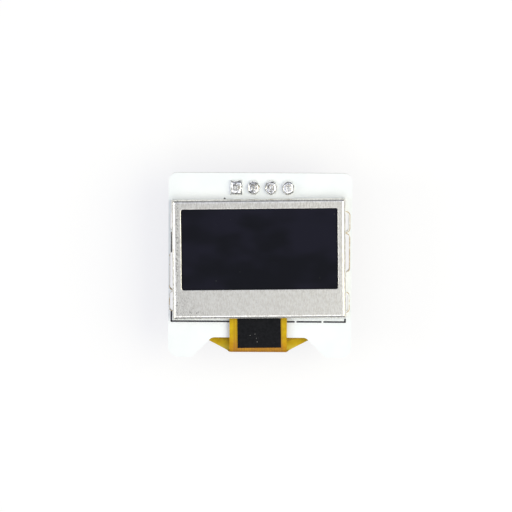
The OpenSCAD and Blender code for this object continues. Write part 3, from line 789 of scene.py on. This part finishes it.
def table_paint():
    material, tree, shader = new_finish("white_table", (0.32, 0.32, 0.27), 0.9, specular=0.1)
    out = tree.nodes["Material Output"]
    rays = tree.nodes.new("ShaderNodeLightPath")
    seen = calculate(tree, "MAXIMUM", rays.outputs["Is Camera Ray"], rays.outputs["Is Glossy Ray"])
    seen = calculate(tree, "MAXIMUM", seen, rays.outputs["Is Transmission Ray"])
    glow = tree.nodes.new("ShaderNodeEmission")
    glow.inputs["Color"].default_value = (*GLOW, 1)
    tree.links.new(seen, glow.inputs["Strength"])
    share = tree.nodes.new("ShaderNodeAddShader")
    tree.links.new(shader.outputs["BSDF"], share.inputs[0])
    tree.links.new(glow.outputs["Emission"], share.inputs[1])
    clear = tree.nodes.new("ShaderNodeBsdfTransparent")
    side = tree.nodes.new("ShaderNodeNewGeometry")
    both = tree.nodes.new("ShaderNodeMixShader")
    tree.links.new(side.outputs["Backfacing"], both.inputs["Fac"])
    tree.links.new(share.outputs["Shader"], both.inputs[1])
    tree.links.new(clear.outputs["BSDF"], both.inputs[2])
    tree.links.new(both.outputs["Shader"], out.inputs["Surface"])
    return material


select_only()
table_top = cad_box[0].z - TABLE_GAP
bpy.ops.mesh.primitive_plane_add(size=TABLE_SIZE, location=(board_middle.x, board_middle.y, table_top))
table = bpy.context.object
table.name = "table"
table.data.materials.append(table_paint())
print("table at", round(table.location.z / MM, 2), "mm")

# %% Tent and lamps
HOLE = 12  # degrees from straight up to the edge of the opening for the lens
HOLE_BLUR = 6  # degrees over which that edge fades
LAMP_DISTANCE = 0.5  # m


def tent():
    """A white tent that is dim towards the horizon, and plain white to the camera."""
    world = bpy.data.worlds.new("tent")
    world.use_nodes = True
    scene.world = world
    tree = world.node_tree
    background = tree.nodes["Background"]
    place = tree.nodes.new("ShaderNodeTexCoord")
    _, _, up = axes(tree, place.outputs["Generated"])
    sky = mix(tree, remap(tree, up, 0.35, 0.92), (0.10, 0.105, 0.12), (1.04, 1.07, 1.20))
    opening = remap(tree, up, cos(radians(HOLE + HOLE_BLUR)), cos(radians(HOLE)))
    colour = mix(tree, opening, sky, (0.5, 0.505, 0.52))
    rays = tree.nodes.new("ShaderNodeLightPath")
    colour = mix(tree, rays.outputs["Is Camera Ray"], colour, (1.1, 1.1, 1.1))
    tree.links.new(colour, background.inputs["Color"])
    background.inputs["Strength"].default_value = 0.88


def lamp(name, size, azimuth, elevation, power, colour):
    """A square soft box, aimed at the middle of the object."""
    light = bpy.data.lights.new(name, "AREA")
    light.shape, light.size, light.energy, light.color = "SQUARE", size, power, colour
    holder = bpy.data.objects.new(name, light)
    scene.collection.objects.link(holder)
    turn, lift = radians(azimuth), radians(elevation)
    away = Vector((cos(lift) * cos(turn), cos(lift) * sin(turn), sin(lift)))
    holder.location = board_middle + LAMP_DISTANCE * away
    holder.rotation_euler = away.to_track_quat("Z", "Y").to_euler()


tent()
lamp("right_box", 0.40, 0, 50, 1.4, (1, 0.955, 0.74))
lamp("left_box", 0.18, 180, 33, 0.5, (1, 0.98, 0.9))
lamp("low_box", 0.14, -90, 58, 0.15, (1, 0.98, 0.9))

# %% [markdown]
# The camera looks almost straight down through a long lens, leaning a little towards the header's edge, so
# that the board's upper edge just shows. The board lies a third of a degree askew in the frame.

# %% Camera
FRAME_MM = 75.4  # width of the view at the board
LENS = 200  # mm
SENSOR = 36  # mm
LEAN = 4.0  # degrees from straight down
ROLL = 0.35  # degrees
aim = Vector((board_middle.x - 0.604 * MM, board_middle.y + 1.362 * MM, front_z))
camera_data = bpy.data.cameras.new("camera")
camera_data.lens = LENS
camera_data.sensor_width = SENSOR
distance = FRAME_MM * MM * LENS / SENSOR
camera = bpy.data.objects.new("camera", camera_data)
scene.collection.objects.link(camera)
direction = Vector((0, sin(radians(LEAN)), cos(radians(LEAN))))
right = Vector((cos(radians(ROLL)), sin(radians(ROLL)), 0))
up = direction.cross(right).normalized()
camera.location = aim + distance * direction
camera.rotation_euler = Matrix((up.cross(direction), up, direction)).transposed().to_euler()
camera_data.clip_start, camera_data.clip_end = 0.01, 5
scene.camera = camera
scene.view_settings.view_transform = "Standard"
print("camera", round(distance, 3), "m away")
